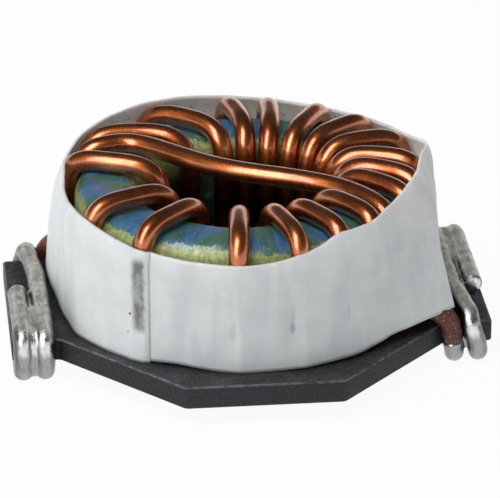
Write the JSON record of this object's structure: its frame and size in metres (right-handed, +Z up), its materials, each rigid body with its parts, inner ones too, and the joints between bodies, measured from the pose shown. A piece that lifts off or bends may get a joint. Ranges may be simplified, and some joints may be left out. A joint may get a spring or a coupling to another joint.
{
  "type": "smd power inductor",
  "caption": "Toroidal power inductor: copper wire wound on a coated ring core, wrapped in white tape, on a black octagonal base plate with tinned wire ends bent round its tabs.",
  "frame": {"origin": "centre of the footprint, on the board plane under the tinned wire wraps", "axes": "+X from the left tab to the right tab, -Y towards the front edge of the base plate, +Z up from the board"},
  "size_m": [0.0286, 0.026, 0.0113],
  "materials": {
    "header_plastic": "moulded, fine grain",
    "core_coat": "epoxy coat, satin",
    "enamelled_copper": "clear enamel over copper, tinned at both ends",
    "white_tape": "satin film tape",
    "epoxy": "cured epoxy",
    "solder": "dull tin solder"
  },
  "bodies": {
    "root": {"header": "header_plastic", "core": "core_coat", "winding": "enamelled_copper", "band": "white_tape", "adhesive": "epoxy", "solder_left": "solder", "solder_right": "solder"}
  },
  "joints": []
}
